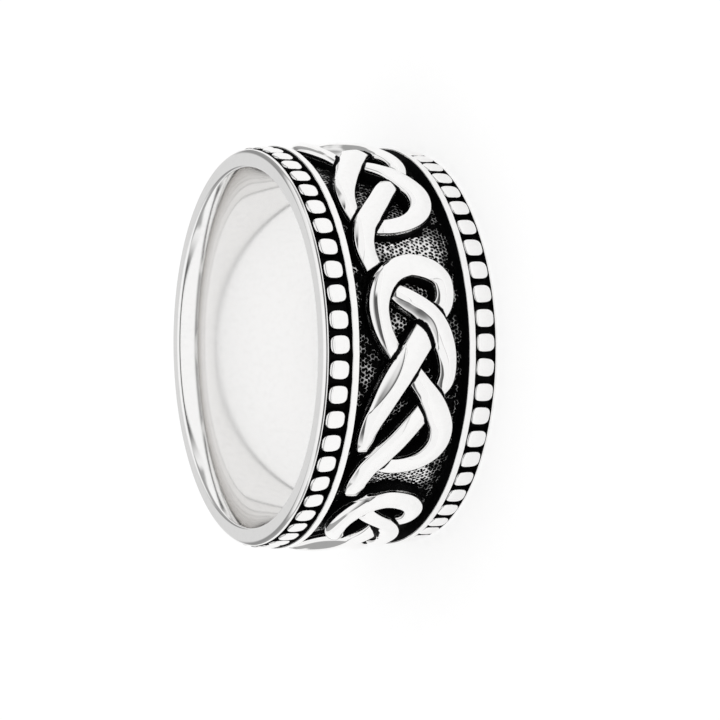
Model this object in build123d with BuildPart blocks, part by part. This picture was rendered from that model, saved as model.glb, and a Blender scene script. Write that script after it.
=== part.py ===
from build123d import *
import math
import os

# A cast silver band ring: two rows of beads, and an interlaced knot in a sunk channel between them.
# Millimetres. The ring lies on its right face: the finger's axis is +Z, and the origin is the
# middle of the face that it rests on. Turns are counted from -Y towards +X, in degrees.

# The band
bore_radius = 9.9
band_width = 10.5
bore_flare = 0.42
bore_flare_length = 2.0
rim_width = 0.23
rim_height = 0.35
rim_edge_width = 0.15
rim_edge_reach = 0.35

# The groove for each row of beads, and the rail between it and the channel
groove_width = 1.33
groove_floor_height = 0.22
rail_width = 0.38
rail_height = 0.81
floor_thickness = 0.83
wall_draft = 0.04

# The beads
bead_count = 52
bead_first_turn = 0.6
bead_length = 1.05
bead_side_gap = 0.075
bead_corner_radius = 0.36
bead_height = 0.55
bead_dome_height = 0.18

# The knot
front_turns = [71.8, 70.0, 70.0]
back_repeats = 2
crown_turn = 94.6
strand_width = 1.2
strand_height = 1.07
strand_dome_share = 0.18
strand_draft = 0.03
root_depth = 0.2

# The knot's strands, charted by hand over one repeat. Each row is a section.
# Columns: turn, a share of the repeat's turn, from the crown of its arch towards the next crown;
# side, a share of half the channel's width, + towards the ring's left face (+Z);
# width, a share of strand_width; rise, a share of strand_height.
ARCH = [
    (0.229, -0.364, 0.92, 0.55),
    (0.181, -0.533, 0.93, 0.80),
    (0.144, -0.600, 0.88, 0.93),
    (0.101, -0.612, 0.90, 0.98),
    (0.060, -0.566, 0.95, 1.00),
    (0.024, -0.386, 1.06, 1.00),
    (0.006, -0.090, 1.08, 1.00),
    (0.017, 0.142, 1.07, 1.00),
    (0.038, 0.310, 1.08, 1.00),
    (0.069, 0.448, 1.08, 1.00),
    (0.108, 0.545, 1.05, 1.00),
    (0.150, 0.605, 1.01, 1.00),
    (0.194, 0.618, 0.97, 0.99),
    (0.244, 0.582, 0.92, 0.96),
    (0.286, 0.511, 0.88, 0.90),
    (0.326, 0.407, 0.84, 0.80),
    (0.376, 0.230, 0.82, 0.55),
]
UPPER_WAVE = [
    (0.078, 0.370, 0.92, 0.50),
    (0.119, 0.218, 0.93, 0.80),
    (0.148, 0.048, 0.97, 0.95),
    (0.181, -0.157, 1.02, 1.00),
    (0.217, -0.323, 1.07, 1.00),
    (0.262, -0.447, 1.07, 1.00),
    (0.314, -0.530, 1.05, 0.98),
    (0.356, -0.582, 0.96, 0.96),
    (0.401, -0.613, 0.87, 0.93),
    (0.446, -0.615, 0.82, 0.88),
    (0.488, -0.573, 0.81, 0.78),
    (0.534, -0.503, 0.80, 0.50),
]
LONG_ARM = [
    (0.246, -0.336, 1.17, 0.50),
    (0.296, -0.164, 1.23, 0.85),
    (0.348, 0.012, 1.25, 1.00),
    (0.403, 0.165, 1.26, 1.00),
    (0.459, 0.310, 1.23, 1.00),
    (0.519, 0.452, 1.16, 0.98),
    (0.577, 0.572, 1.08, 0.95),
    (0.627, 0.659, 1.00, 0.90),
    (0.680, 0.706, 0.90, 0.84),
    (0.731, 0.697, 0.83, 0.74),
    (0.776, 0.613, 0.77, 0.50),
]
LOOP = [
    (0.406, 0.097, 0.87, 0.55),
    (0.449, -0.055, 0.90, 0.82),
    (0.494, -0.203, 0.94, 0.95),
    (0.521, -0.289, 1.02, 1.00),
    (0.552, -0.384, 1.12, 1.00),
    (0.592, -0.481, 1.18, 1.00),
    (0.641, -0.580, 1.15, 1.00),
    (0.682, -0.606, 1.12, 1.00),
    (0.724, -0.583, 1.07, 0.99),
    (0.762, -0.503, 1.02, 0.97),
    (0.796, -0.355, 0.92, 0.94),
    (0.819, -0.152, 0.84, 0.90),
    (0.830, 0.085, 0.81, 0.84),
    (0.827, 0.288, 0.80, 0.74),
    (0.812, 0.485, 0.79, 0.50),
]
LOWER_WAVE = [
    (0.553, -0.382, 0.88, 0.50),
    (0.596, -0.221, 0.92, 0.82),
    (0.650, -0.018, 0.97, 0.97),
    (0.710, 0.179, 1.00, 1.00),
    (0.753, 0.332, 1.03, 1.00),
    (0.789, 0.450, 1.05, 1.00),
    (0.826, 0.572, 1.04, 1.00),
    (0.866, 0.638, 1.02, 0.98),
    (0.909, 0.676, 0.99, 0.93),
    (0.952, 0.651, 0.97, 0.82),
    (1.004, 0.533, 0.92, 0.50),
]
STRANDS = [ARCH, UPPER_WAVE, LONG_ARM, LOOP, LOWER_WAVE]

back_turn = (360 - sum(front_turns)) / back_repeats
half_width = band_width / 2
half_channel = half_width - rim_width - groove_width - rail_width
channel_floor_radius = bore_radius + floor_thickness
groove_floor_radius = channel_floor_radius + groove_floor_height
rim_radius = groove_floor_radius + rim_height
rail_radius = channel_floor_radius + rail_height
middle_radius = channel_floor_radius + strand_height / 2
bead_top_radius = groove_floor_radius + bead_height
bead_side = half_channel + rail_width + groove_width / 2
bead_width = groove_width - 2 * bead_side_gap

os.makedirs("parts", exist_ok=True)


def outward(turn):
    """The direction away from the finger's axis at a turn."""
    return Vector(math.sin(math.radians(turn)), -math.cos(math.radians(turn)), 0)


def along_turn(turn):
    """The direction round the band, towards higher turns."""
    return Vector(math.cos(math.radians(turn)), math.sin(math.radians(turn)), 0)


def make_band():
    """Revolves the band's profile: for each side the bore, its flare, the face, rim, groove, rail and channel."""
    middle = Plane(origin=(0, 0, half_width), x_dir=(1, 0, 0), z_dir=(0, -1, 0))
    rail_outer = half_channel + rail_width
    groove_outer = rail_outer + groove_width
    with BuildPart() as band:
        with BuildSketch(middle):
            with BuildLine():
                for side in (1, -1):
                    bore_end = (bore_radius, side * (half_width - bore_flare_length))
                    face_inner = (bore_radius + bore_flare, side * half_width)
                    face_outer = (rim_radius - rim_edge_reach, side * half_width)
                    rim_top = (rim_radius, side * (half_width - rim_edge_width))
                    Line((bore_radius, 0), bore_end)
                    TangentArc(bore_end, face_inner, tangent=(0, side))
                    Line(face_inner, face_outer)
                    TangentArc(face_outer, rim_top, tangent=(1, 0))
                    Polyline(
                        rim_top,
                        (rim_radius, side * groove_outer),
                        (groove_floor_radius, side * (groove_outer - wall_draft)),
                        (groove_floor_radius, side * (rail_outer + wall_draft)),
                        (rail_radius, side * rail_outer),
                        (rail_radius, side * half_channel),
                        (channel_floor_radius, side * (half_channel - wall_draft)),
                        (channel_floor_radius, 0),
                    )
            make_face()
        revolve(axis=Axis.Z)
    return band.part


def make_bead():
    """One rounded square bead with a domed top, at turn 0 and half the band's width."""
    root_radius = groove_floor_radius - root_depth
    dome_radius = ((bead_length / 2) ** 2 + bead_dome_height**2) / (2 * bead_dome_height)
    root = Plane(origin=(0, -root_radius, half_width), x_dir=(1, 0, 0), z_dir=(0, -1, 0))
    with BuildPart() as bead:
        with BuildSketch(root):
            RectangleRounded(bead_length, bead_width, bead_corner_radius)
        extrude(amount=bead_top_radius - root_radius)
        with Locations((0, dome_radius - bead_top_radius, half_width)):
            Sphere(dome_radius, mode=Mode.INTERSECT)
    return bead.part


def headings(places):
    """The unit direction of the strand at each of its places on the unrolled channel."""
    ends = [places[0]] + places + [places[-1]]
    steps = [Vector(*after) - Vector(*before) for before, after in zip(ends[:-2], ends[2:])]
    return [step.normalized() for step in steps]


def make_strand(rows, crown, repeat_turn):
    """Lofts one strand of a repeat whose arch has its crown at the turn given."""
    turns = [crown - turn * repeat_turn for turn, side, width, rise in rows]
    places = [
        (math.radians(turn) * middle_radius, side * half_channel)
        for turn, (_, side, _, _) in zip(turns, rows)
    ]
    with BuildPart() as strand:
        for turn, (_, side, width, rise), step in zip(turns, rows, headings(places)):
            half = width * strand_width / 2
            crest = rise * strand_height
            shoulder = crest * (1 - strand_dome_share)
            foot = outward(turn) * channel_floor_radius + Vector(0, 0, half_width + side * half_channel)
            heading = along_turn(turn) * step.X + Vector(0, 0, step.Y)
            with BuildSketch(Plane(foot, x_dir=outward(turn).cross(heading), z_dir=heading)):
                with BuildLine():
                    Polyline(
                        (half, shoulder),
                        (half + strand_draft, -root_depth),
                        (-half - strand_draft, -root_depth),
                        (-half, shoulder),
                    )
                    ThreePointArc((-half, shoulder), (0, crest), (half, shoulder))
                make_face()
        loft()
    return strand.part


def make_knot():
    """All strands of the repeats, round the whole band."""
    repeat_turns = front_turns + [back_turn] * back_repeats
    crown = crown_turn
    strands = []
    for repeat_turn in repeat_turns:
        strands += [make_strand(rows, crown, repeat_turn) for rows in STRANDS]
        crown -= repeat_turn
    return strands


bead = make_bead()
with BuildPart() as band_ring:
    add(make_band())
    with Locations((0, 0, -bead_side), (0, 0, bead_side)):
        with PolarLocations(0, bead_count, start_angle=bead_first_turn):
            add(bead)
    add(make_knot())
band_ring.part.label = "band_ring"
export_step(band_ring.part, "parts/band_ring.step")
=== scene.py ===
"""A cast silver band ring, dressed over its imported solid.

Lengths in the tables are millimetres. The finger's axis is +Z and the ring lies on the floor, z = 0.
Turns are degrees from -Y towards +X, and side is the distance from the band's middle, + towards +Z.
Polish is 1 where the silver is bare and 0 where it is black with oxide.
"""

import math

import bpy
import numpy as np
from mathutils import Matrix, Vector


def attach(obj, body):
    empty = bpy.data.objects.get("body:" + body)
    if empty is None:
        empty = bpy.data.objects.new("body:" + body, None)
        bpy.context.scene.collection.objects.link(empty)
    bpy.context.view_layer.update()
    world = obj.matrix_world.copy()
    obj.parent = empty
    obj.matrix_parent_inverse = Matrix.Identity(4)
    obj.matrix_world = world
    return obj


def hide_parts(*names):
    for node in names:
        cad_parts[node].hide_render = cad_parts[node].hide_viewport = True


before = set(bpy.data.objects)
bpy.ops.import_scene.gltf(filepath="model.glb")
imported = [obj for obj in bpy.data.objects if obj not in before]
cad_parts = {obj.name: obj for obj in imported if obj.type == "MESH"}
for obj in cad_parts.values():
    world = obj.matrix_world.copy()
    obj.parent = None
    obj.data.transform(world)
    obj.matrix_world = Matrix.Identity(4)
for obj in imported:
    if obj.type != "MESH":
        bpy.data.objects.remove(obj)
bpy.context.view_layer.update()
chance = np.random.default_rng(52)

MM = 0.001
UP = np.array([0, 0, 1])

# The band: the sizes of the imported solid, with finer edges
BORE_RADIUS = 9.9
HALF_WIDTH = 5.25
BORE_STRAIGHT_END = 3.25
BORE_EDGE_ROUNDING = 0.20
FACE_INNER_RADIUS = 10.32
FACE_OUTER_RADIUS = 10.95
RIM_RADIUS = 11.3
RIM_BEVEL = (0.04, 0.08)
RIM_BEVEL_SIDE = 5.07
RIM_ROUNDING = 0.02
GROOVE_OUTER = 5.02
GROOVE_ROUNDING = 0.10
RAIL_OUTER = 3.69
RAIL_ROUNDING = 0.05
RAIL_CROWN = 0.006
HALF_CHANNEL = 3.31
RAIL_RADIUS = 11.54
GROOVE_FLOOR_RADIUS = 10.95
CHANNEL_FLOOR_RADIUS = 10.73
CHANNEL_BED_RADIUS = 10.58
WALL_DRAFT = 0.04
BAND_STEPS = 600
FLARE_ROWS = 12
RIM_ROWS = 9
LONGEST_PROFILE_STEP = 0.42
LAST_PROFILE_STEP = 0.4

# Where the oxide starts on a wall: how far below its edge, and how far into the groove or channel
RIM_OXIDE = (0.07, 0.008)
RAIL_OUTER_OXIDE = (0.12, 0.009)
RAIL_INNER_OXIDE = (0.14, 0.008)

# How the rails wander: the radii between which it fades in and the sides between which it fades out;
# how far their crowns sink, and how far their edges sway in slow and in quick waves
WANDER_RADII = (11.26, 11.45)
WANDER_SIDES = (4.8, 4.9)
CROWN_WANDER = 0.010
EDGE_WANDER = (0.012, 0.006)

# The beads, and how they differ by chance
BEAD_COUNT = 52
BEAD_FIRST_TURN = 0.6
BEAD_SIDE = 4.355
BEAD_HALF_LENGTH = 0.525
BEAD_HALF_WIDTH = 0.59
BEAD_SQUARENESS = 3.0
BEAD_TOP_RADIUS = 11.50
BEAD_OUTLINE_STEPS = 24
BEAD_TURN_SPREAD = 0.1
BEAD_SIDE_SPREAD = 0.008
BEAD_GROWTH = (-0.03, 0.01)
BEAD_SPIN_SPREAD = 2.5
BEAD_LEAN_SPREAD = 0.012
BEAD_SINK = 0.01
BEAD_SINK_SPREAD = 0.02

# A bead's section. Columns: reach, a share of its outline; drop below its top; polish.
BEAD_SECTION = [
    (0.22, 0.004, 1.0),
    (0.46, 0.016, 1.0),
    (0.67, 0.036, 1.0),
    (0.82, 0.060, 1.0),
    (0.915, 0.090, 1.0),
    (0.970, 0.128, 0.7),
    (0.995, 0.175, 0.2),
    (1.000, 0.230, 0.0),
    (1.008, 0.320, 0.0),
    (1.020, 0.620, 0.0),
]

# The knot
REPEAT_TURNS = [71.8, 70.0, 70.0, 74.1, 74.1]
CROWN_TURN = 94.6
STRAND_WIDTH = 1.2
STRAND_STEPS = 96
CREST_RADIUS = 11.79
RIDGE_SLOPE = 10.0
EDGE_SLOPE = 28.0
RIDGE_ROUNDING = (-0.01, 0.06)
RIDGE_ROWS = [0.0, 0.02, 0.045, 0.08]
DOME_END = 0.9
DOME_ROWS = np.linspace(0.17, DOME_END, 9)
RELIEF = CREST_RADIUS - CHANNEL_FLOOR_RADIUS
MIDDLE_RADIUS = CHANNEL_FLOOR_RADIUS + RELIEF / 2

# Beside a higher strand a lower one is black. How far from its edge the polish starts and is whole;
# how much higher it stands where the black starts and is whole.
CREVICE_REACH = (0.07, 0.26)
CREVICE_RISE = (0.05, 0.25)

# A strand's section beyond its dome. Columns: across, a share of half its width; 1 at the height of
# the dome's edge and 0 on the floor; drop below that; polish.
STRAND_EDGE = [
    (0.935, 1, 0.020, 1.00),
    (0.965, 1, 0.050, 1.00),
    (0.985, 1, 0.090, 0.95),
    (1.000, 1, 0.150, 0.80),
    (1.004, 1, 0.240, 0.45),
    (1.010, 1, 0.360, 0.0),
    (1.030, 0, 0.020, 0.0),
    (1.050, 0, 0.150, 0.0),
]

# The dimples of the channel's floor. Their shifts and waves are shares of the lattice's steps, and the
# waves' crests slant by so many radians a millimetre across.
DIMPLE_COLUMNS = 300
DIMPLE_ROWS = 35
DIMPLE_ROW_STEP = 0.195
DIMPLE_RADIUS = 0.080
DIMPLE_DEPTH = 0.07
DIMPLE_SHIFT = 0.3
DIMPLE_WAVE = 0.5
DIMPLE_SLANTS = (0.15, 0.2)
DIMPLE_SIZES = (0.85, 1.1)

# Beside a strand or a wall: how far from it the dimples and the brightness start and are whole, the
# size and depth that are left there as shares, and how far the network sinks
DIMPLE_FADE = (0.06, 0.24)
# The brightness lost beside a strand or a wall is partly oxide and partly painted shade
BRIGHT_FADE = (0.08, 0.30)
SHALLOW_SIZE = 0.75
SHALLOW_DEPTH = 0.25
SHALLOW_SINK = 0.03

# Columns and rows from a cell to its six neighbours
HEXAGON = [(1, 0), (0, 1), (-1, 1), (-1, 0), (-1, -1), (0, -1)]

# A dimple's rings: its cell's corners, its lip, a lower ring and its bottom. Places in each; how far
# each is sunk, a share of the depth; how high each counts where the network is rubbed bright.
RING_PLACES = [6, 6, 6, 1]
RING_SINK = [0.0, 0.22, 0.85, 1.0]
RING_CREST = [1.0, 0.0, -0.7, -1.5]
LOWER_RING_SHARE = 0.6
CELL_PLACES = sum(RING_PLACES)

# The floor is cut out under the strands, from this far inside their edges
HIDDEN_FLOOR = 0.22

# Distances to the strands are measured up to the farthest, with the courses in so many blocks
FARTHEST = 9.0
COURSE_BLOCKS = 24

# Turn and side on the unrolled floor, in millimetres
UNROLLED = np.array([CHANNEL_FLOOR_RADIUS, 1.0])

# The strands of one repeat, charted. Columns: turn, a share of the repeat's turn from the
# crown of its arch; side, a share of half the channel; width, a share of STRAND_WIDTH; rise, a
# share of RELIEF.
ARCH = [
    (0.229, -0.364, 0.92, 0.55),
    (0.181, -0.533, 0.93, 0.80),
    (0.144, -0.600, 0.88, 0.93),
    (0.101, -0.612, 0.90, 0.98),
    (0.060, -0.566, 0.95, 1.00),
    (0.024, -0.386, 1.06, 1.00),
    (0.006, -0.090, 1.08, 1.00),
    (0.017, 0.142, 1.07, 1.00),
    (0.038, 0.310, 1.08, 1.00),
    (0.069, 0.448, 1.08, 1.00),
    (0.108, 0.545, 1.05, 1.00),
    (0.150, 0.605, 1.01, 1.00),
    (0.194, 0.618, 0.97, 0.99),
    (0.244, 0.582, 0.92, 0.96),
    (0.286, 0.511, 0.88, 0.90),
    (0.326, 0.407, 0.84, 0.80),
    (0.376, 0.230, 0.82, 0.55),
]
UPPER_WAVE = [
    (0.078, 0.370, 0.92, 0.50),
    (0.119, 0.218, 0.93, 0.80),
    (0.148, 0.048, 0.97, 0.95),
    (0.181, -0.157, 1.02, 1.00),
    (0.217, -0.323, 1.07, 1.00),
    (0.262, -0.447, 1.07, 1.00),
    (0.314, -0.530, 1.05, 0.98),
    (0.356, -0.582, 0.96, 0.96),
    (0.401, -0.613, 0.87, 0.93),
    (0.446, -0.615, 0.82, 0.88),
    (0.488, -0.573, 0.81, 0.78),
    (0.534, -0.503, 0.80, 0.50),
]
LONG_ARM = [
    (0.246, -0.336, 1.17, 0.50),
    (0.296, -0.164, 1.23, 0.85),
    (0.348, 0.012, 1.25, 1.00),
    (0.403, 0.165, 1.26, 1.00),
    (0.459, 0.310, 1.23, 1.00),
    (0.519, 0.452, 1.16, 0.98),
    (0.577, 0.572, 1.08, 0.95),
    (0.627, 0.659, 1.00, 0.90),
    (0.680, 0.706, 0.90, 0.84),
    (0.731, 0.697, 0.83, 0.74),
    (0.776, 0.613, 0.77, 0.50),
]
LOOP = [
    (0.406, 0.097, 0.87, 0.55),
    (0.449, -0.055, 0.90, 0.82),
    (0.494, -0.203, 0.94, 0.95),
    (0.521, -0.289, 1.02, 1.00),
    (0.552, -0.384, 1.12, 1.00),
    (0.592, -0.481, 1.18, 1.00),
    (0.641, -0.580, 1.15, 1.00),
    (0.682, -0.606, 1.12, 1.00),
    (0.724, -0.583, 1.07, 0.99),
    (0.762, -0.503, 1.02, 0.97),
    (0.796, -0.355, 0.92, 0.94),
    (0.819, -0.152, 0.84, 0.90),
    (0.830, 0.085, 0.81, 0.84),
    (0.827, 0.288, 0.80, 0.74),
    (0.812, 0.485, 0.79, 0.50),
]
LOWER_WAVE = [
    (0.553, -0.382, 0.88, 0.50),
    (0.596, -0.221, 0.92, 0.82),
    (0.650, -0.018, 0.97, 0.97),
    (0.710, 0.179, 1.00, 1.00),
    (0.753, 0.332, 1.03, 1.00),
    (0.789, 0.450, 1.05, 1.00),
    (0.826, 0.572, 1.04, 1.00),
    (0.866, 0.638, 1.02, 0.98),
    (0.909, 0.676, 0.99, 0.93),
    (0.952, 0.651, 0.97, 0.82),
    (1.004, 0.533, 0.92, 0.50),
]
STRANDS = [ARCH, UPPER_WAVE, LONG_ARM, LOOP, LOWER_WAVE]

# The bright-cut facets on the strands' left sides. Columns: the strand's number; where the facet
# starts and ends, as shares of the strand's length; its slope in degrees at its start, middle and end.
FACETS = [
    (0, 0.44, 1.02, 16, 27, 36),
    (1, 0.02, 0.60, 54, 44, 27),
    (2, 0.19, 0.66, 34, 40, 31),
]

# Shares of half the strand's width, apart from the slope: how far the seam comes in; where the steeper
# edge starts, and its slope; the row that slides onto the seam, and the places that it slides between
FACET_REACH = 0.86
FACET_EDGE = 0.76
FACET_EDGE_SLOPE = 55.0
SEAM_ROW = 0.535
SEAM_RANGE = (0.12, 0.84)

# Where brushing has brightened the channel's floor. Columns: turn and side of the patch's middle, as
# in the strands' tables; its reach in each, in the same shares; how bright it is.
BRIGHT_PATCHES = [
    (0.915, -0.42, 0.055, 0.30, 1.0),
    (0.900, 0.05, 0.055, 0.45, 0.65),
    (0.12, -0.10, 0.050, 0.25, 0.30),
    (0.20, 0.12, 0.060, 0.25, 0.30),
    (0.62, -0.20, 0.060, 0.20, 0.30),
]
LEAST_BRIGHTNESS = 0.32


def smooth_step(value, low, high):
    """0 below low, 1 above high, and 3t^2 - 2t^3 of the share t between them."""
    share = np.clip((value - low) / (high - low), 0, 1)
    return share * share * (3 - 2 * share)


def outward(turn):
    """Unit vectors away from the finger's axis at turns in radians: (sin, -cos, 0)."""
    return np.stack([np.sin(turn), -np.cos(turn), np.zeros_like(turn)], -1)


def along_turn(turn):
    """Unit vectors round the band at turns in radians, the derivative of outward: (cos, sin, 0)."""
    return np.stack([np.cos(turn), np.sin(turn), np.zeros_like(turn)], -1)


def on_band(radius, turn, side):
    """Places at a radius, a turn in radians and a side: outward x radius, raised by side + half the width."""
    place = outward(turn) * np.asarray(radius)[..., None]
    place[..., 2] += side + HALF_WIDTH
    return place


def waves(turn, count, lowest, highest):
    """A slow wander round the band between -1 and 1: the mean of some sines of whole wave numbers."""
    numbers = chance.integers(lowest, highest, count)
    phases = chance.uniform(0, math.tau, count)
    return np.mean([np.sin(number * turn + phase) for number, phase in zip(numbers, phases)], axis=0)


def grid_quads(rows, columns, wrap_rows, wrap_columns):
    """Corner numbers of a grid's quads: (i, j), (i+1, j), (i+1, j+1), (i, j+1).

    The last row or column is joined to the first where it wraps.
    """
    row = np.arange(rows if wrap_rows else rows - 1)[:, None]
    column = np.arange(columns if wrap_columns else columns - 1)[None, :]
    next_row = (row + 1) % rows
    next_column = (column + 1) % columns
    corners = [
        row * columns + column,
        next_row * columns + column,
        next_row * columns + next_column,
        row * columns + next_column,
    ]
    return np.stack(corners, -1).reshape(-1, 4)


def make_piece(name, places, faces, material, polish, face_map=None):
    """A mesh from places in millimetres and arrays of corner numbers.

    It keeps the polish of each place and, where one is given, a map with a row for each face's corners.
    """
    corners = np.concatenate([block.ravel() for block in faces])
    sizes = np.concatenate([np.full(len(block), block.shape[1]) for block in faces])
    starts = np.concatenate([[0], np.cumsum(sizes)[:-1]])
    mesh = bpy.data.meshes.new(name)
    mesh.vertices.add(len(places))
    mesh.vertices.foreach_set("co", (places * MM).ravel())
    mesh.loops.add(len(corners))
    mesh.loops.foreach_set("vertex_index", corners.astype(np.int32))
    mesh.polygons.add(len(sizes))
    mesh.polygons.foreach_set("loop_start", starts.astype(np.int32))
    mesh.polygons.foreach_set("use_smooth", np.ones(len(sizes), bool))
    levels = mesh.attributes.new("polish", "FLOAT", "POINT")
    levels.data.foreach_set("value", polish.astype(np.float32).ravel())
    if face_map is not None:
        layer = mesh.uv_layers.new(name="surface")
        layer.data.foreach_set("uv", face_map.astype(np.float32).ravel())
    mesh.update(calc_edges=True)
    mesh.validate()
    mesh.materials.append(material)
    piece = bpy.data.objects.new(name, mesh)
    bpy.context.scene.collection.objects.link(piece)
    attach(piece, "root")
    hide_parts("band_ring")


def tangent_arc(start, end, start_angle, count):
    """Points on the arc that leaves start at an angle and ends at end.

    It turns by twice the angle between the chord and that start.
    """
    chord = np.subtract(end, start)
    lean = math.atan2(chord[1], chord[0]) - start_angle
    radius = np.hypot(*chord) / (2 * math.sin(lean))
    swept = np.linspace(0, 2 * lean, count)[:, None]
    first = np.array([-math.sin(start_angle), math.cos(start_angle)])
    turned = np.hstack([-np.sin(start_angle + swept), np.cos(start_angle + swept)])
    return np.asarray(start) + radius * (first - turned)


def rounded(rows, steps=5):
    """A profile with its corners rounded. Columns: radius, side, rounding, and what is carried along.

    A corner of radius r is cut back by r tan(half the turn) on both runs and bridged by a quadratic curve.
    """
    smooth = []
    for before, corner, after in zip(np.roll(rows, 1, 0), rows, np.roll(rows, -1, 0)):
        if corner[2] == 0:
            smooth.append(corner)
            continue
        arriving = (corner - before) / np.hypot(*(corner - before)[:2])
        leaving = (after - corner) / np.hypot(*(after - corner)[:2])
        half_turn = math.acos(np.clip(arriving[:2] @ leaving[:2], -1, 1)) / 2
        cut = corner[2] * math.tan(half_turn)
        share = np.linspace(0, 1, steps)[:, None]
        start = corner - arriving * cut
        end = corner + leaving * cut
        smooth.extend((1 - share) ** 2 * start + 2 * share * (1 - share) * corner + share**2 * end)
    return np.array(smooth)


def divided(rows, longest):
    """The same closed profile with each run divided evenly, so that none is longer than given."""
    fine = []
    for row, after in zip(rows, np.roll(rows, -1, 0)):
        parts = max(1, math.ceil(np.hypot(*(after - row)[:2]) / longest))
        fine.extend(row + (after - row) * share for share in np.arange(parts) / parts)
    return np.array(fine)


def band_profile():
    """The band's closed profile. Columns: radius, side, polish.

    One half goes from the bore's middle over the face, rim, groove, rail and channel, and its mirror
    image is joined on backwards. The rim's edge is an arc from the face to a narrow bevel.
    """
    face_inner = (FACE_INNER_RADIUS, HALF_WIDTH)
    bevel = (RIM_RADIUS - RIM_BEVEL[0], RIM_BEVEL_SIDE + RIM_BEVEL[1])
    flare = tangent_arc((BORE_RADIUS, BORE_STRAIGHT_END), face_inner, math.pi / 2, FLARE_ROWS)
    rim = tangent_arc((FACE_OUTER_RADIUS, HALF_WIDTH), bevel, 0.0, RIM_ROWS)
    # Columns: radius, side, rounding, polish
    half = [
        (BORE_RADIUS, 0.0, 0.0, 1.0),
        (BORE_RADIUS, BORE_STRAIGHT_END, 0.0, 1.0),
        *((radius, side, 0.0, 1.0) for radius, side in flare[1:-1]),
        (*face_inner, BORE_EDGE_ROUNDING, 1.0),
        *((radius, side, 0.0, 1.0) for radius, side in rim[:-1]),
        (*bevel, RIM_ROUNDING, 1.0),
        (RIM_RADIUS, RIM_BEVEL_SIDE, RIM_ROUNDING, 1.0),
        (RIM_RADIUS, GROOVE_OUTER, RIM_ROUNDING / 2, 1.0),
        (RIM_RADIUS - RIM_OXIDE[0], GROOVE_OUTER - RIM_OXIDE[1], 0.0, 0.0),
        (GROOVE_FLOOR_RADIUS, GROOVE_OUTER - WALL_DRAFT, GROOVE_ROUNDING, 0.0),
        (GROOVE_FLOOR_RADIUS, RAIL_OUTER + WALL_DRAFT, GROOVE_ROUNDING, 0.0),
        (RAIL_RADIUS - RAIL_OUTER_OXIDE[0], RAIL_OUTER + RAIL_OUTER_OXIDE[1], 0.0, 0.0),
        (RAIL_RADIUS - RAIL_CROWN, RAIL_OUTER, RAIL_ROUNDING, 1.0),
        (RAIL_RADIUS, (RAIL_OUTER + HALF_CHANNEL) / 2, 0.0, 1.0),
        (RAIL_RADIUS - RAIL_CROWN, HALF_CHANNEL, RAIL_ROUNDING, 1.0),
        (RAIL_RADIUS - RAIL_INNER_OXIDE[0], HALF_CHANNEL - RAIL_INNER_OXIDE[1], 0.0, 0.0),
        (CHANNEL_BED_RADIUS, HALF_CHANNEL - WALL_DRAFT, 0.0, 0.0),
    ]
    half = np.array(half)
    whole = np.vstack([half, half[:0:-1] * [1, -1, 1, 1]])
    return divided(rounded(whole), LONGEST_PROFILE_STEP)[:, [0, 1, 3]]


def make_band(material):
    """The band: its profile carried round the axis, with the rails wandering by about 0.01 mm.

    Its map gives lengths in millimetres: the first round the band, the second along the profile.
    """
    profile = band_profile()
    turn = np.linspace(0, math.tau, BAND_STEPS, endpoint=False)[None, :]
    radius, side, polish = (column[:, None] for column in profile.T)
    rail = smooth_step(radius, *WANDER_RADII)
    inside = smooth_step(-np.abs(side), -WANDER_SIDES[1], -WANDER_SIDES[0])
    edge = np.sign(side) * rail * inside
    radius = radius - CROWN_WANDER * rail * (1 + waves(turn, count=6, lowest=3, highest=24))
    slow = EDGE_WANDER[0] * edge * waves(turn, count=8, lowest=5, highest=60)
    quick = EDGE_WANDER[1] * edge * waves(turn, count=8, lowest=60, highest=200)
    side = side + slow + quick
    places = on_band(radius, turn + 0 * radius, side)
    lengths = np.concatenate([[0], np.cumsum(np.hypot(*np.diff(profile[:, :2], axis=0).T))])
    lengths = np.append(lengths, lengths[-1] + LAST_PROFILE_STEP)
    row = np.arange(len(profile))[:, None]
    column = np.arange(BAND_STEPS)[None, :]
    around = math.tau * RAIL_RADIUS / BAND_STEPS
    corner_map = [
        np.stack(np.broadcast_arrays(around * (column + step), lengths[row + rise]), -1)
        for rise, step in ((0, 0), (1, 0), (1, 1), (0, 1))
    ]
    make_piece(
        "band",
        places.reshape(-1, 3),
        [grid_quads(len(profile), BAND_STEPS, True, True)],
        material,
        np.repeat(polish, BAND_STEPS),
        np.stack(corner_map, -2),
    )


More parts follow.
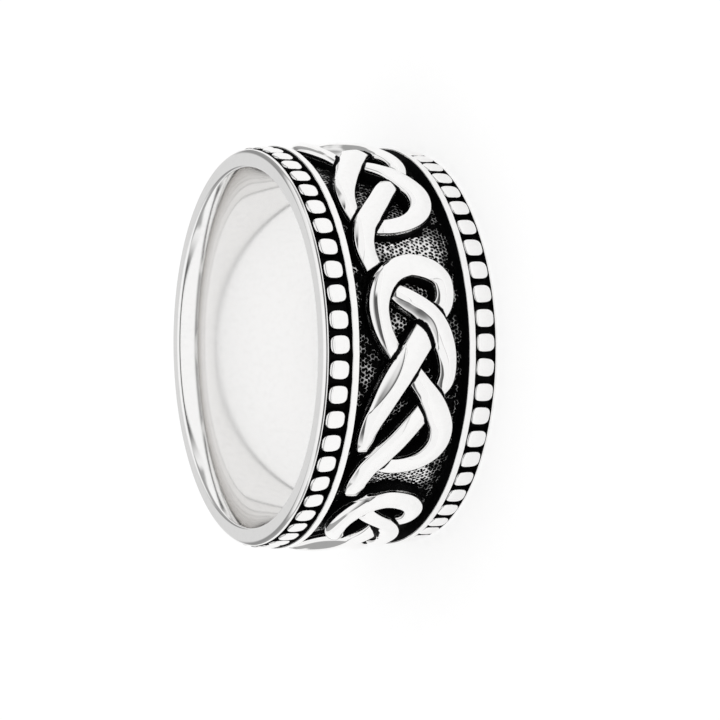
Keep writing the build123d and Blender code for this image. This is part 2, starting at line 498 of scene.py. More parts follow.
def make_bead_rows(material):
    """Both rows of beads. Each bead is turned, scaled and sunk a little by chance.

    One bead is its section carried round a superellipse, |x/a|^n + |z/b|^n = 1.
    """
    section = np.array(BEAD_SECTION)
    around = np.linspace(0, math.tau, BEAD_OUTLINE_STEPS, endpoint=False)
    bend = 2 / BEAD_SQUARENESS
    outline_x = np.sign(np.cos(around)) * np.abs(np.cos(around)) ** bend * BEAD_HALF_LENGTH
    outline_z = np.sign(np.sin(around)) * np.abs(np.sin(around)) ** bend * BEAD_HALF_WIDTH
    reach = section[:, :1]
    x = np.concatenate([[0], (reach * outline_x).ravel()])
    z = np.concatenate([[0], (reach * outline_z).ravel()])
    drop = np.concatenate([[0], np.repeat(section[:, 1], len(around))])
    polish = np.concatenate([[1], np.repeat(section[:, 2], len(around))])
    beads = 2 * BEAD_COUNT
    number = np.arange(beads)
    degrees = BEAD_FIRST_TURN + 360 / BEAD_COUNT * (number % BEAD_COUNT)
    turn = np.radians(degrees + chance.normal(0, BEAD_TURN_SPREAD, beads))
    side = np.where(number < BEAD_COUNT, BEAD_SIDE, -BEAD_SIDE) + chance.normal(0, BEAD_SIDE_SPREAD, beads)
    size = (1 + chance.uniform(*BEAD_GROWTH, beads))[:, None]
    spin = chance.normal(0, math.radians(BEAD_SPIN_SPREAD), beads)[:, None]
    lean = chance.normal(0, BEAD_LEAN_SPREAD, (2, beads))[:, :, None]
    across = size * (x * np.cos(spin) - z * np.sin(spin))
    up = size * (x * np.sin(spin) + z * np.cos(spin))
    sunk = chance.uniform(0, BEAD_SINK_SPREAD, beads)[:, None] + BEAD_SINK
    radius = BEAD_TOP_RADIUS - sunk - drop + lean[0] * across + lean[1] * up
    places = (
        outward(turn)[:, None] * radius[..., None]
        + along_turn(turn)[:, None] * across[..., None]
        + UP * (up + side[:, None] + HALF_WIDTH)[..., None]
    )
    ring = len(around)
    step = np.arange(ring)
    start = (number * len(x))[:, None, None]
    cap = np.stack([0 * step, 1 + step, 1 + (step + 1) % ring], -1)[None] + start
    walls = grid_quads(len(section), ring, False, True)[None] + 1 + start
    foot = (len(x) - ring + step)[None, None, ::-1] + start
    faces = [cap.reshape(-1, 3), walls.reshape(-1, 4), foot.reshape(-1, ring)]
    make_piece("bead_rows", places.reshape(-1, 3), faces, material, np.tile(polish, beads))


def spline_through(rows, count):
    """A smooth curve through a table's rows, by the Catmull-Rom formula.

    It is a cubic between each two rows, whose slope at a row is half the difference of its neighbours.
    """
    rows = np.asarray(rows, float)
    rows = np.vstack([2 * rows[0] - rows[1], rows, 2 * rows[-1] - rows[-2]])
    place = np.linspace(0, len(rows) - 3, count)
    first = np.minimum(place.astype(int), len(rows) - 4)
    t = (place - first)[:, None]
    a, b, c, d = (rows[first + step] for step in range(4))
    return 0.5 * (2 * b + (c - a) * t + (2 * a - 5 * b + 4 * c - d) * t**2 + (3 * b - a - 3 * c + d) * t**3)


def strand_section():
    """A strand's section from foot to foot over the crest.

    Columns: across, a share of half the width; height over the floor as a share of the crest's; drop
    below that in millimetres; polish. Each side falls from the rounded ridge by the sum of
    tan(slope) x step, where the slope grows evenly from the ridge to the edge.
    """
    share = np.concatenate([RIDGE_ROWS, DOME_ROWS])
    slope = np.tan(np.radians(RIDGE_SLOPE + (EDGE_SLOPE - RIDGE_SLOPE) * share))
    slope = slope * smooth_step(share, *RIDGE_ROUNDING)
    steps = np.cumsum((slope[1:] + slope[:-1]) / 2 * np.diff(share))
    fall = np.concatenate([[0], steps]) * (STRAND_WIDTH / 2) / RELIEF
    top = np.stack([share, 1 - fall, 0 * share, np.ones_like(share)], -1)
    half = np.vstack([top, np.array(STRAND_EDGE) * [1, 1 - fall[-1], 1, 1]])
    return np.vstack([half[:0:-1] * [-1, 1, 1, 1], half])


def facet_along(number, share):
    """A strand's facet at shares of its length: its seam, a share of half the width, and its slope's tangent.

    The seam comes in from the edge to the ridge and goes back by 4 s (1 - s) of the facet's length,
    and the slope follows a parabola.
    """
    seam = np.ones(share.shape)
    slope = np.zeros(share.shape)
    for strand, first, last, start, middle, end in FACETS:
        if number % len(STRANDS) == strand:
            place = np.clip((share - first) / (last - first), 0, 1)
            bow = 4 * place * (1 - place)
            seam = 1 - FACET_REACH * bow
            degrees = start + (end - start) * place + (middle - (start + end) / 2) * bow
            slope = np.tan(np.radians(degrees))
    return seam, slope


def cut_facet(section, half, seam, slope):
    """The section at each step of a course, with a facet on its left side.

    It gives places across in shares, and heights lost in millimetres. The left rows slide so that one
    of them lies on the seam. From there the facet falls by its slope, and by a steeper one near the edge.
    """
    top = section[(section[:, 0] >= 0) & (section[:, 0] <= DOME_END)]
    shares, dome = top[:, 0], (1 - top[:, 1]) * RELIEF
    reach = -section[:, 0]
    seam, slope = seam[:, None], slope[:, None]
    knee = np.clip(seam, *SEAM_RANGE)
    outer = knee + (reach - SEAM_ROW) * (DOME_END - knee) / (DOME_END - SEAM_ROW)
    moved = np.where(reach < SEAM_ROW, reach * knee / SEAM_ROW, outer)
    reach = np.where((reach > 0) & (reach <= DOME_END), moved, reach)
    fall = np.interp(np.abs(reach), shares, dome)
    steeper = math.tan(math.radians(FACET_EDGE_SLOPE)) - slope
    edge = np.clip(reach - np.maximum(seam, FACET_EDGE), 0, None) * steeper
    plane = np.clip(reach - seam, 0, None) * slope + edge * (slope > 0)
    plane = np.interp(seam, shares, dome) + half[:, None] * plane
    return -reach, np.maximum(fall, np.where(reach > seam, plane, 0))


def knot_courses():
    """The middle line of each strand. Columns: turn in radians, side in millimetres, width, rise."""
    courses = []
    crown = CROWN_TURN
    for repeat_turn in REPEAT_TURNS:
        for rows in STRANDS:
            share, side, width, rise = spline_through(rows, STRAND_STEPS).T
            turn = np.radians(crown - share * repeat_turn)
            courses.append(np.stack([turn, side * HALF_CHANNEL, width, rise], -1))
        crown -= repeat_turn
    return courses


def crevice_polish(turn, side, height, others):
    """How much of its polish a strand keeps beside the strands that pass over it."""
    kept = np.ones(turn.shape)
    for other in others:
        other_turn, other_side, width, rise = other[::2].T
        gap = (turn[..., None] - other_turn + math.pi) % math.tau - math.pi
        away = np.hypot(gap * MIDDLE_RADIUS, side[..., None] - other_side) - width * STRAND_WIDTH / 2
        over = rise * RELIEF - height[..., None]
        dark = (1 - smooth_step(away, *CREVICE_REACH)) * smooth_step(over, *CREVICE_RISE)
        kept = np.minimum(kept, 1 - dark.max(-1))
    return kept


def strand_surface(number, courses, section):
    """A strand's places, polish and map: the section carried along its course.

    The course's width and rise scale the section. A place is outward x (floor + height) + across x
    width, with across at right angles to the course and to outward. The map gives lengths along and
    across in millimetres.
    """
    turn, side, width, rise = courses[number].T
    heading = np.stack([np.gradient(turn) * MIDDLE_RADIUS, np.gradient(side)], -1)
    step = np.hypot(*heading.T)
    heading = heading / step[:, None]
    out = outward(turn)
    across = np.cross(out, along_turn(turn) * heading[:, :1] + UP * heading[:, 1:])
    half = width * STRAND_WIDTH / 2
    shares, fall = cut_facet(section, half, *facet_along(number, np.linspace(0, 1, len(turn))))
    reach = half[:, None] * shares
    height = np.where(section[:, 1] > 0, rise[:, None] * RELIEF - fall, 0) - section[:, 2]
    middle = on_band(CHANNEL_FLOOR_RADIUS + 0 * turn, turn, side)
    place = middle[:, None] + out[:, None] * height[..., None] + across[:, None] * reach[..., None]
    near = range(number - len(STRANDS), number + len(STRANDS) + 1)
    others = [courses[other % len(courses)] for other in near if other != number]
    place_turn = np.arctan2(place[..., 0], -place[..., 1])
    kept = crevice_polish(place_turn, place[..., 2] - HALF_WIDTH, height, others)
    along = np.cumsum(step)[:, None] + 0 * reach
    return place, section[:, 3] * kept, np.stack([along, reach], -1)


def make_knot_strands(courses, material):
    """The knot's strands. Each is closed all round and by a cap at both ends."""
    section = strand_section()
    ring = len(section)
    surfaces = [strand_surface(number, courses, section) for number in range(len(courses))]
    places, polish, flat_map = (np.stack(parts) for parts in zip(*surfaces))
    start = np.arange(len(courses))[:, None, None] * STRAND_STEPS * ring
    quads = (grid_quads(STRAND_STEPS, ring, False, True) + start).reshape(-1, 4)
    ends = np.stack([np.arange(ring), STRAND_STEPS * ring - 1 - np.arange(ring)])
    caps = (ends + start).reshape(-1, ring)
    face_map = flat_map.reshape(-1, 2)[np.concatenate([quads.ravel(), caps.ravel()])]
    make_piece("knot_strands", places.reshape(-1, 3), [quads, caps], material, polish, face_map)


def patch_brightness(turn, side):
    """How bright the floor's network is: a low level plus a soft bell over each patch of each repeat."""
    level = np.full(turn.shape, LEAST_BRIGHTNESS)
    crown = CROWN_TURN
    for repeat_turn in REPEAT_TURNS:
        beyond = (crown - np.degrees(turn) + 180 - repeat_turn / 2) % 360 - 180 + repeat_turn / 2
        share = beyond / repeat_turn
        for middle, across, reach, width, bright in BRIGHT_PATCHES:
            away = ((share - middle) / reach) ** 2 + ((side / HALF_CHANNEL - across) / width) ** 2
            level = level + bright * np.exp(-away)
        crown -= repeat_turn
    return np.minimum(level, 1)


def dimple_lattice():
    """The middles and the six corners of the floor's cells, as turn in radians and side in millimetres.

    They lie on a hexagonal lattice whose middles are shifted by chance and by slow waves. A corner is
    the mean of three neighbouring middles.
    """
    column = np.arange(DIMPLE_COLUMNS)[:, None]
    row = np.arange(DIMPLE_ROWS + 2)[None, :]
    odd = row % 2
    pitch = math.tau / DIMPLE_COLUMNS
    turn = (column + 0.5 * odd) * pitch
    side = (row - (DIMPLE_ROWS + 1) / 2) * DIMPLE_ROW_STEP + 0 * column
    shift = chance.uniform(-DIMPLE_SHIFT, DIMPLE_SHIFT, (2,) + side.shape)
    sway = waves(turn + side * DIMPLE_SLANTS[0], count=6, lowest=20, highest=60)
    turn = turn + pitch * (shift[0] + DIMPLE_WAVE * sway)
    sway = waves(turn - side * DIMPLE_SLANTS[1], count=6, lowest=20, highest=60)
    side = side + DIMPLE_ROW_STEP * (shift[1] + DIMPLE_WAVE * sway)

    def neighbour(columns, rows):
        """Middles of the cells so many columns and rows on. Odd rows lie half a column beyond even ones."""
        onward = column + (columns if rows == 0 else columns + odd)
        index = onward % DIMPLE_COLUMNS
        other = np.clip(row + rows, 0, DIMPLE_ROWS + 1)
        return np.stack([turn[index, other] + math.tau * (onward // DIMPLE_COLUMNS), side[index, other]], -1)

    middle = np.stack([turn, side], -1)
    around = [neighbour(*step) for step in HEXAGON]
    corners = np.stack([(middle + around[k] + around[(k + 1) % 6]) / 3 for k in range(6)], -2)
    return middle[:, 1:-1], corners[:, 1:-1]


def distance_to_strands(middle, courses):
    """How far places, given as turn and side, lie beyond the nearest strand's edge, up to a farthest.

    The courses are taken in blocks, to save memory.
    """
    nearest = np.full(middle.shape[:2], FARTHEST)
    for lap in (-math.tau, 0, math.tau):
        for block in np.array_split(np.vstack(courses), COURSE_BLOCKS):
            gap = (middle[:, :, None] - block[:, :2] - np.array([lap, 0])) * UNROLLED
            away = np.hypot(gap[..., 0], gap[..., 1]) - block[:, 2] * STRAND_WIDTH / 2
            nearest = np.minimum(nearest, away.min(-1))
    return nearest


def dimple_triangles():
    """Corner numbers of one cell's triangles: twelve between each two rings, and six to the bottom."""
    step = np.arange(6)
    after = (step + 1) % 6
    return np.vstack(
        [
            np.stack([step, after, 6 + after], -1),
            np.stack([step, 6 + after, 6 + step], -1),
            np.stack([6 + step, 6 + after, 12 + after], -1),
            np.stack([6 + step, 12 + after, 12 + step], -1),
            np.stack([12 + step, 12 + after, 18 + 0 * step], -1),
        ]
    )


def make_channel_floors(courses, material):
    """The dimpled floor, a piece for each fifth of the turn.

    A cell has its corners, the dimple's round lip, a lower ring and the bottom. Dimples are shallower
    and smaller beside a strand or a wall. The map gives how high a place counts as the network's crest,
    and its distance from the cell's middle as a share of the dimple's radius.
    """
    middle, corners = dimple_lattice()
    nearest = distance_to_strands(middle, courses)
    clear = np.minimum(nearest, HALF_CHANNEL - np.abs(middle[..., 1]))
    depth = smooth_step(clear, *DIMPLE_FADE)
    size = DIMPLE_RADIUS * (SHALLOW_SIZE + (1 - SHALLOW_SIZE) * depth)
    size = size * chance.uniform(*DIMPLE_SIZES, depth.shape)
    spoke = (corners - middle[:, :, None]) * UNROLLED
    angle = np.arctan2(spoke[..., 1], spoke[..., 0])
    toward = np.stack([np.cos(angle) / CHANNEL_FLOOR_RADIUS, np.sin(angle)], -1)
    lip = middle[:, :, None] + toward * size[..., None, None]
    lower = middle[:, :, None] + toward * LOWER_RING_SHARE * size[..., None, None]
    flat_places = np.concatenate([corners, lip, lower, middle[:, :, None]], -2)
    depth = depth[..., None]
    sink = np.repeat(RING_SINK, RING_PLACES) * DIMPLE_DEPTH
    sink = sink * (SHALLOW_DEPTH + (1 - SHALLOW_DEPTH) * depth)
    radius = CHANNEL_FLOOR_RADIUS - sink - SHALLOW_SINK * (1 - depth)
    places = on_band(radius, flat_places[..., 0], flat_places[..., 1])
    crest = np.broadcast_to(np.repeat(RING_CREST, RING_PLACES), radius.shape)
    off = (flat_places - middle[:, :, None]) * UNROLLED
    local = np.stack([crest, np.hypot(off[..., 0], off[..., 1]) / DIMPLE_RADIUS], -1)
    # Beside strands and walls the network goes dark: oxide together with painted shade
    bright = patch_brightness(middle[..., 0], middle[..., 1]) * smooth_step(clear, *BRIGHT_FADE)
    shown = nearest > -HIDDEN_FLOOR
    for part in range(5):
        columns = slice(part * DIMPLE_COLUMNS // 5, (part + 1) * DIMPLE_COLUMNS // 5)
        keep = shown[columns]
        cells = places[columns][keep]
        start = (np.arange(len(cells)) * CELL_PLACES)[:, None, None]
        faces = (dimple_triangles() + start).reshape(-1, 3)
        level = np.repeat(bright[columns][keep], CELL_PLACES)
        face_map = local[columns][keep].reshape(-1, 2)[faces.ravel()]
        name = "channel_floor_%d" % (part + 1)
        make_piece(name, cells.reshape(-1, 3), [faces], material, level, face_map)


SILVER_COLOUR = (0.915, 0.91, 0.905, 1)
OXIDE_COLOURS = [(0.0015, 0.0015, 0.0017, 1), (0.006, 0.006, 0.0065, 1)]
METAL_SPECULAR = 0.04
BUMP_REACH = 0.03


def add_node(tree, kind, inputs=(), **settings):
    """A node with its settings, and its inputs set to a value or joined to another node's output."""
    node = tree.nodes.new(kind)
    for key, value in settings.items():
        setattr(node, key, value)
    for key, value in dict(inputs).items():
        if isinstance(value, bpy.types.NodeSocket):
            tree.links.new(value, node.inputs[key])
        else:
            node.inputs[key].default_value = value
    return node


def math_node(tree, operation, *values):
    """A Math node's output."""
    return add_node(tree, "ShaderNodeMath", enumerate(values), operation=operation).outputs[0]


def ramp(tree, value, low, high, start=0.0, end=1.0):
    """A smooth Map Range's output: start below low, end above high."""
    values = {"Value": value, "From Min": low, "From Max": high, "To Min": start, "To Max": end}
    return add_node(tree, "ShaderNodeMapRange", values, interpolation_type="SMOOTHSTEP").outputs[0]


def noise(tree, place, scale, detail=2.0, roughness=0.5):
    """A Noise Texture's value."""
    values = {"Vector": place, "Scale": scale, "Detail": detail, "Roughness": roughness}
    return add_node(tree, "ShaderNodeTexNoise", values).outputs["Fac"]


def product(tree, first, second):
    """Two vectors or colours multiplied part by part."""
    return add_node(tree, "ShaderNodeVectorMath", {0: first, 1: second}, operation="MULTIPLY").outputs[0]


def scaled(tree, vector, by):
    """A vector times a number."""
    return add_node(tree, "ShaderNodeVectorMath", {0: vector, "Scale": by}, operation="SCALE").outputs[0]


def vector_value(tree, operation, inputs):
    """A number that a Vector Math node gives."""
    return add_node(tree, "ShaderNodeVectorMath", inputs, operation=operation).outputs["Value"]


def combined(tree, *parts):
    """A vector or colour of three numbers, or of one number three times."""
    parts = parts if len(parts) == 3 else parts * 3
    return add_node(tree, "ShaderNodeCombineXYZ", enumerate(parts)).outputs[0]


def mixed_colour(tree, share, first, second):
    """The first colour, going over to the second with the share."""
    values = {0: share, 6: first, 7: second}
    return add_node(tree, "ShaderNodeMix", values, data_type="RGBA").outputs[2]


def bump(tree, height, strength):
    """A normal that a height bends."""
    values = {"Height": height, "Strength": strength, "Distance": BUMP_REACH * MM}
    return add_node(tree, "ShaderNodeBump", values).outputs[0]


def object_place(tree):
    """A place on the object, in metres."""
    return add_node(tree, "ShaderNodeTexCoord").outputs["Object"]


def polish_attribute(tree):
    """The piece's polish attribute."""
    return add_node(tree, "ShaderNodeAttribute", attribute_name="polish").outputs["Fac"]


def surface_map(tree):
    """The piece's own map."""
    return add_node(tree, "ShaderNodeUVMap", uv_map="surface").outputs["UV"]


def new_material(name, specular):
    """An empty material with its specular level: (material, tree, shader)."""
    material = bpy.data.materials.new(name)
    material.use_nodes = True
    shader = material.node_tree.nodes["Principled BSDF"]
    shader.inputs["Specular IOR Level"].default_value = specular
    return material, material.node_tree, shader


def new_group(name, inputs, outputs):
    """An empty node group with its named inputs and outputs: (tree, input sockets, output sockets)."""
    tree = bpy.data.node_groups.new(name, "ShaderNodeTree")
    for socket, kind, value in inputs:
        made = tree.interface.new_socket(socket, in_out="INPUT", socket_type="NodeSocket" + kind)
        made.default_value = value
    for socket, kind in outputs:
        tree.interface.new_socket(socket, in_out="OUTPUT", socket_type="NodeSocket" + kind)
    return tree, tree.nodes.new("NodeGroupInput").outputs, tree.nodes.new("NodeGroupOutput").inputs


def use_group(tree, group, values):
    """The outputs of a node that uses a group, with its inputs set by name."""
    return add_node(tree, "ShaderNodeGroup", values, node_tree=group).outputs


def oxidised_silver_group():
    """Silver where Polish is over a half, black oxide where it is under, with a ragged border between."""
    tree, given, result = new_group(
        "oxidised silver",
        [
            ("Place", "Vector", (0, 0, 0)),
            ("Polish", "Float", 1.0),
            ("Ragged", "Float", 0.3),
            ("Silver", "Color", SILVER_COLOUR),
            ("Silver Roughness", "Float", 0.06),
            ("Oxide Roughness", "Float", 0.5),
        ],
        [("Color", "Color"), ("Roughness", "Float"), ("Metallic", "Float"), ("Height", "Float")],
    )
    coarse = noise(tree, given["Place"], 3.2, 3.0)
    fine = noise(tree, given["Place"], 14.0, 3.0, 0.6)
    wander = math_node(tree, "MULTIPLY_ADD", coarse, 0.55, math_node(tree, "MULTIPLY", fine, 0.45))
    shift = math_node(tree, "MULTIPLY", math_node(tree, "SUBTRACT", wander, 0.5), given["Ragged"])
    level = math_node(tree, "MULTIPLY_ADD", shift, 2.0, given["Polish"])
    bare = ramp(tree, level, 0.42, 0.58)
    soot = ramp(tree, fine, 0.4, 0.75)
    oxide = mixed_colour(tree, soot, *OXIDE_COLOURS)
    film = ramp(tree, coarse, 0.4, 0.8, 1.0, 0.975)
    tinted = product(tree, given["Silver"], combined(tree, film))
    tree.links.new(mixed_colour(tree, bare, oxide, tinted), result["Color"])
    values = {0: bare, 2: given["Oxide Roughness"], 3: given["Silver Roughness"]}
    tree.links.new(add_node(tree, "ShaderNodeMix", values).outputs[0], result["Roughness"])
    tree.links.new(bare, result["Metallic"])
    grain = math_node(tree, "MULTIPLY", fine, 0.5)
    height = math_node(tree, "MULTIPLY_ADD", math_node(tree, "SUBTRACT", 1.0, bare), grain, bare)
    tree.links.new(height, result["Height"])
    return tree


def fine_scratches_group():
    """Hairline scratches: noise drawn out along the map's first direction.

    They come as a height and as an added roughness.
    """
    tree, given, result = new_group(
        "fine scratches",
        [("Map", "Vector", (0, 0, 0)), ("Amount", "Float", 1.0), ("Length", "Float", 1.5)],
        [("Height", "Float"), ("Roughness", "Float")],
    )
    along = math_node(tree, "DIVIDE", 1.0, given["Length"])
    lines = noise(tree, product(tree, given["Map"], combined(tree, along, 26.0, 1.0)), 1.0, 4.0, 0.62)
    patches = ramp(tree, noise(tree, given["Map"], 0.35, 2.0), 0.35, 0.7)
    scratch = math_node(tree, "MULTIPLY", ramp(tree, lines, 0.56, 0.72), patches)
    tree.links.new(math_node(tree, "MULTIPLY", scratch, given["Amount"]), result["Roughness"])
    depth = math_node(tree, "SUBTRACT", lines, math_node(tree, "MULTIPLY", scratch, 0.6))
    tree.links.new(math_node(tree, "MULTIPLY", depth, given["Amount"]), result["Height"])
    return tree


def silver_material(name, groups, ragged, mapped, scratches, length, roughness, bore_roughness):
    """Polished silver, with black oxide where the piece's polish is low, and fine scratches.

    The scratches run along the piece's map where it has one. The silver is rougher inside the bore,
    where the distance from the finger's axis is under the face's inner radius.
    """
    material, tree, shader = new_material(name, METAL_SPECULAR)
    place = scaled(tree, object_place(tree), 1 / MM)
    away = vector_value(tree, "LENGTH", {0: product(tree, place, (1, 1, 0))})
    satin = ramp(tree, away, FACE_INNER_RADIUS - 0.2, FACE_INNER_RADIUS, bore_roughness, roughness)
    values = {"Place": place, "Polish": polish_attribute(tree), "Ragged": ragged, "Silver Roughness": satin}
    metal = use_group(tree, groups["silver"], values)
    flow = surface_map(tree) if mapped else place
    marks = use_group(tree, groups["scratches"], {"Map": flow, "Amount": scratches, "Length": length})
    rough = math_node(tree, "MULTIPLY_ADD", marks["Roughness"], 0.12, metal["Roughness"])
    height = math_node(tree, "MULTIPLY_ADD", marks["Height"], 0.03, metal["Height"])
    tree.links.new(metal["Color"], shader.inputs["Base Color"])
    tree.links.new(metal["Metallic"], shader.inputs["Metallic"])
    tree.links.new(rough, shader.inputs["Roughness"])
    tree.links.new(bump(tree, height, 0.35), shader.inputs["Normal"])
    return material


def floor_material(groups):
    """The channel's floor: black oxide in round dimples, with the network between them rubbed bright.

    How far it is rubbed comes from the piece's polish; beside strands and walls the low polish also stands
    for painted shade.
    """
    material, tree, shader = new_material("dimpled channel floor", METAL_SPECULAR)
    place = scaled(tree, object_place(tree), 1 / MM)
    crest, reach = add_node(tree, "ShaderNodeSeparateXYZ", {0: surface_map(tree)}).outputs[:2]
    cloud = math_node(tree, "SUBTRACT", noise(tree, place, 1.5), 0.5)
    rub = math_node(tree, "MULTIPLY_ADD", cloud, 1.3, polish_attribute(tree))
    speckle = math_node(tree, "SUBTRACT", noise(tree, place, 16.0), 0.5)
    grain = math_node(tree, "MULTIPLY_ADD", speckle, 0.7, crest)
    width = ramp(tree, rub, 0.15, 1.0, 0.72, 0.10)
    bright = ramp(tree, math_node(tree, "SUBTRACT", grain, width), -0.16, 0.16)
    rubbed = math_node(tree, "MULTIPLY", bright, ramp(tree, rub, 0.10, 0.45))
    values = {"Place": place, "Polish": rubbed, "Ragged": 0.1, "Silver Roughness": 0.28}
    metal = use_group(tree, groups["silver"], values)
    dim = ramp(tree, rub, 0.2, 1.0, 0.22, 0.95)
    tree.links.new(product(tree, metal["Color"], combined(tree, dim)), shader.inputs["Base Color"])
    tree.links.new(metal["Metallic"], shader.inputs["Metallic"])
    tree.links.new(metal["Roughness"], shader.inputs["Roughness"])
    tree.links.new(bump(tree, ramp(tree, reach, 0.3, 1.3), 0.6), shader.inputs["Normal"])
    return material


STAGE_HALF = 0.8
STAGE_TONE = 0.5
STAGE_GLOW = 0.64
# How dark the painted contact shadow under the ring's face is
CONTACT_SHADE = 0.4


def make_stage():
    """A plain pale floor that the ring lies on, lit a little from within so that the shadow stays faint.

    It is darker under the face that the ring rests on: a painted contact shadow, in both its colour and its
    glow.
    """
    corners = [(x * STAGE_HALF, y * STAGE_HALF, 0) for x, y in ((-1, -1), (1, -1), (1, 1), (-1, 1))]
    mesh = bpy.data.meshes.new("studio_floor")
    mesh.from_pydata(corners, [], [(0, 1, 2, 3)])
    material, tree, shader = new_material("pale studio floor", 0.0)
    reach = vector_value(tree, "LENGTH", {0: object_place(tree)})
    beyond = ramp(tree, reach, (FACE_OUTER_RADIUS - 0.1) * MM, (FACE_OUTER_RADIUS + 0.1) * MM)
    # Painted contact shadow: colour and glow fall to CONTACT_SHADE under the ring's face and are whole again
    # beyond it
    painted_contact_shadow = ramp(tree, reach, (FACE_INNER_RADIUS - 0.25) * MM, FACE_INNER_RADIUS * MM, 1.0, CONTACT_SHADE)
    glow = combined(tree, math_node(tree, "MAXIMUM", painted_contact_shadow, beyond))
    tree.links.new(scaled(tree, glow, STAGE_TONE), shader.inputs["Base Color"])
    tree.links.new(glow, shader.inputs["Emission Color"])
    shader.inputs["Roughness"].default_value = 0.9
    shader.inputs["Emission Strength"].default_value = STAGE_GLOW
    mesh.materials.append(material)
    floor = bpy.data.objects.new("studio_floor", mesh)
    bpy.context.scene.collection.objects.link(floor)


CAMERA_ELEVATION = math.radians(24.40)
CAMERA_ROLL = math.radians(-0.65)
CAMERA_DISTANCE = 0.155
CAMERA_LENS = 134.0
CAMERA_SHIFT = (0.0458, -0.0186)
TOWARDS_CAMERA = Vector((0, -math.cos(CAMERA_ELEVATION), math.sin(CAMERA_ELEVATION)))


def make_camera():
    """The photograph's camera, turned a quarter so that the ring's axis lies across the frame."""
    across = Vector((0, -math.sin(CAMERA_ELEVATION), -math.cos(CAMERA_ELEVATION)))
    along = Vector((1, 0, 0))
    right = across * math.cos(CAMERA_ROLL) + along * math.sin(CAMERA_ROLL)
    up = along * math.cos(CAMERA_ROLL) - across * math.sin(CAMERA_ROLL)
    lens = bpy.data.cameras.new("camera")
    lens.lens = CAMERA_LENS
    lens.sensor_width = 36
    lens.shift_x, lens.shift_y = CAMERA_SHIFT
    lens.clip_start = 0.005
    lens.clip_end = 5
    camera = bpy.data.objects.new("camera", lens)
    place = Vector((0, 0, HALF_WIDTH * MM)) + TOWARDS_CAMERA * CAMERA_DISTANCE
    turned = Matrix((right, up, TOWARDS_CAMERA)).transposed().to_4x4()
    camera.matrix_world = Matrix.Translation(place) @ turned
    bpy.context.scene.collection.objects.link(camera)
    bpy.context.scene.camera = camera


def tent_panel_group():
    """A soft-edged patch of directions: 1 inside it and 0 outside.

    Inside, the sine across lies between From and To, the sine along is under Half, and the direction
    is on the side that Facing points to.
    """
    tree, given, result = new_group(
        "tent panel",
        [
            ("Direction", "Vector", (0, 0, 1)),
            ("Facing", "Vector", (0, 0, 1)),
            ("Across", "Vector", (0, 0, 1)),
            ("From", "Float", 0.0),
            ("From Softness", "Float", 0.05),
            ("To", "Float", 0.1),
            ("To Softness", "Float", 0.05),
            ("Along", "Vector", (1, 0, 0)),
            ("Half", "Float", 0.5),
            ("Half Softness", "Float", 0.1),
        ],
        [("Shade", "Float")],
    )
    facing, lean, aside = (
        vector_value(tree, "DOT_PRODUCT", {0: given["Direction"], 1: given[axis]})
        for axis in ("Facing", "Across", "Along")
    )
    shade = ramp(tree, facing, 0.0, 0.05)
    for inside, softness in (
        (math_node(tree, "SUBTRACT", lean, given["From"]), "From Softness"),
        (math_node(tree, "SUBTRACT", given["To"], lean), "To Softness"),
        (math_node(tree, "SUBTRACT", given["Half"], math_node(tree, "ABSOLUTE", aside)), "Half Softness"),
    ):
        edge = ramp(tree, math_node(tree, "DIVIDE", inside, given[softness]), -0.5, 0.5)
        shade = math_node(tree, "MULTIPLY", shade, edge)
    tree.links.new(shade, result["Shade"])
    return tree


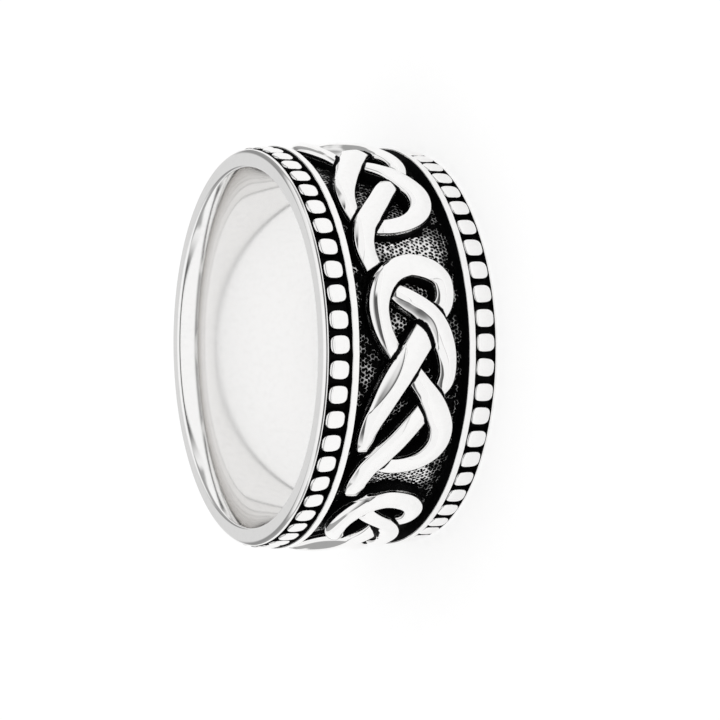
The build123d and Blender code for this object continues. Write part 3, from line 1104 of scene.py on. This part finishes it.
# Darker parts of the light tent. Columns: the direction that it faces; the axis across it, with the
# sines where it starts and ends and how soft each edge is; the axis along it, with half its reach and
# its softness; how much darker it is.
BEYOND_CAMERA = (0, 0.413, 0.911)
IN_FRONT = (0, -0.911, 0.413)
TENT_PANELS = [
    # The seam between the tent and the floor, in front
    (IN_FRONT, BEYOND_CAMERA, -0.42, 0.03, -0.375, 0.03, (1, 0, 0), 0.85, 0.3, 0.30),
    # The dark studio over the camera
    (IN_FRONT, BEYOND_CAMERA, 0.01, 0.05, 0.28, 0.45, (1, 0, 0), 0.88, 0.25, 0.90),
    # The tent's pale grey back
    ((0, 1, 0), (0, 0, 1), 0.10, 0.20, 0.75, 0.4, (1, 0, 0), 0.50, 0.3, 0.26),
    # The dark openings on both sides at the back
    ((0.84, 0.54, 0), (0, 0, 1), 0.14, 0.05, 0.60, 0.08, (0.54, -0.84, 0), 0.62, 0.10, 0.60),
    ((-0.84, 0.54, 0), (0, 0, 1), 0.14, 0.05, 0.60, 0.08, (0.54, 0.84, 0), 0.62, 0.10, 0.60),
]
PANEL_INPUTS = [
    "Facing",
    "Across",
    "From",
    "From Softness",
    "To",
    "To Softness",
    "Along",
    "Half",
    "Half Softness",
]


def make_light_tent():
    """A white light tent all round, with soft darker parts for the metal to reflect."""
    world = bpy.data.worlds.new("light tent")
    world.use_nodes = True
    tree = world.node_tree
    direction = add_node(tree, "ShaderNodeTexCoord").outputs["Generated"]
    panel = tent_panel_group()
    bright = 1.0
    for *edges, darker in TENT_PANELS:
        values = {"Direction": direction} | dict(zip(PANEL_INPUTS, edges))
        lit = math_node(tree, "MULTIPLY_ADD", use_group(tree, panel, values)[0], -darker, 1.0)
        bright = math_node(tree, "MULTIPLY", lit, bright)
    back = tree.nodes["Background"]
    back.inputs["Color"].default_value = (1, 1, 1, 1)
    tree.links.new(bright, back.inputs["Strength"])
    bpy.context.scene.world = world


# The silver of each kind of piece. Columns: name; how ragged the oxide's border is; whether the piece
# has a map; amount and length of the scratches; roughness, and that inside the bore.
SILVERS = {
    "band": ("band silver", 0.25, True, 1.0, 3.0, 0.07, 0.08),
    "knot": ("knot silver", 0.42, True, 0.5, 1.0, 0.04, 0.04),
    "beads": ("bead silver", 0.5, False, 0.5, 1.0, 0.05, 0.05),
}

groups = {"silver": oxidised_silver_group(), "scratches": fine_scratches_group()}
silvers = {part: silver_material(name, groups, *values) for part, (name, *values) in SILVERS.items()}
channel_floor = floor_material(groups)

courses = knot_courses()
make_band(silvers["band"])
make_bead_rows(silvers["beads"])
make_knot_strands(courses, silvers["knot"])
make_channel_floors(courses, channel_floor)
make_stage()
make_camera()
make_light_tent()
bpy.context.scene.view_settings.view_transform = "Standard"
bpy.context.scene.cycles.glossy_bounces = 12
